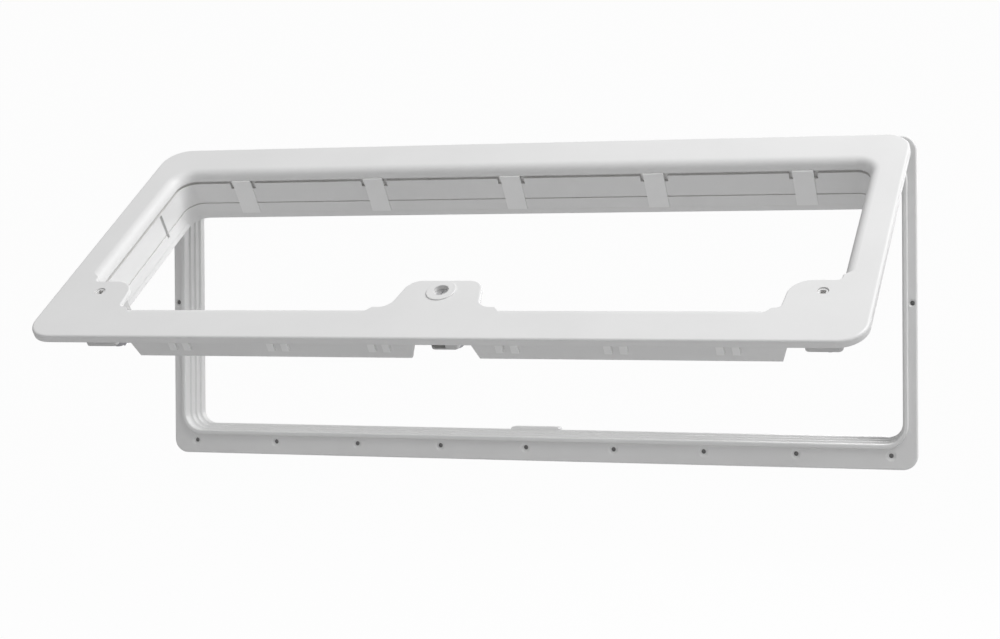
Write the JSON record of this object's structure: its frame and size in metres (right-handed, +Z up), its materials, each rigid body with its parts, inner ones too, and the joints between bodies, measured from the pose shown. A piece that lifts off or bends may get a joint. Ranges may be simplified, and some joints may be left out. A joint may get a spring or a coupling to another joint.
{
  "type": "caravan service door",
  "caption": "Moulded service door for a caravan wall: a top-hung rounded frame leaf with panel clips, a centre lock and corner latches, standing open in its screw-on wall frame.",
  "frame": {"origin": "on the back face of the wall frame's bottom flange, in the middle of its length and of its width", "axes": "+X along the wall to the right as seen from outside, +Y into the wall, +Z up"},
  "size_m": [0.77, 0.2958, 0.3099],
  "materials": {
    "white_plastic": "satin moulded white",
    "clip_plastic": "matt moulded white",
    "grey_plastic": "matt moulded pale grey",
    "zinc_chrome": "plated",
    "zinc_cam": "cast zinc",
    "steel_pin": "drawn wire"
  },
  "bodies": {
    "wall_frame": {"wall_frame": "white_plastic", "strike": "white_plastic", "hinge_pin_1": "steel_pin", "hinge_pin_2": "steel_pin", "hinge_pin_3": "steel_pin", "hinge_pin_4": "steel_pin"},
    "door": {"door_frame": "white_plastic", "panel_clip_top_1": "clip_plastic", "panel_clip_top_2": "clip_plastic", "panel_clip_top_3": "clip_plastic", "panel_clip_top_4": "clip_plastic", "panel_clip_top_5": "clip_plastic", "panel_clip_bottom_1": "clip_plastic", "panel_clip_bottom_2": "clip_plastic", "panel_clip_bottom_3": "clip_plastic", "panel_clip_bottom_4": "clip_plastic", "panel_clip_bottom_5": "clip_plastic", "panel_clip_bottom_6": "clip_plastic", "lock_housing": "grey_plastic", "lock_bezel": "white_plastic", "latch_housing_left": "grey_plastic", "latch_housing_right": "grey_plastic"},
    "centre_lock": {"lock_barrel": "zinc_chrome", "lock_cam": "zinc_cam"},
    "left_latch": {"latch_spindle_left": "grey_plastic", "latch_cam_left": "zinc_cam"},
    "right_latch": {"latch_spindle_right": "grey_plastic", "latch_cam_right": "zinc_cam"}
  },
  "joints": [
    {"name": "door_hinge", "type": "hinge", "parent": "wall_frame", "child": "door", "pos_m": [0, -0.0095, 0.29375], "axis": [-1, 0, 0], "range_deg": [-54.5, 45.5]},
    {"name": "centre_lock_turn", "type": "hinge", "parent": "door", "child": "centre_lock", "pos_m": [0, -0.20727, 0.15944], "axis": [0, -0.5807, 0.8141], "range_deg": [0, 180]},
    {"name": "left_latch_turn", "type": "hinge", "parent": "door", "child": "left_latch", "pos_m": [-0.338, -0.20727, 0.15944], "axis": [0, 0.5807, -0.8141], "range_deg": [0, 180]},
    {"name": "right_latch_turn", "type": "hinge", "parent": "door", "child": "right_latch", "pos_m": [0.338, -0.20727, 0.15944], "axis": [0, -0.5807, 0.8141], "range_deg": [0, 180]}
  ]
}
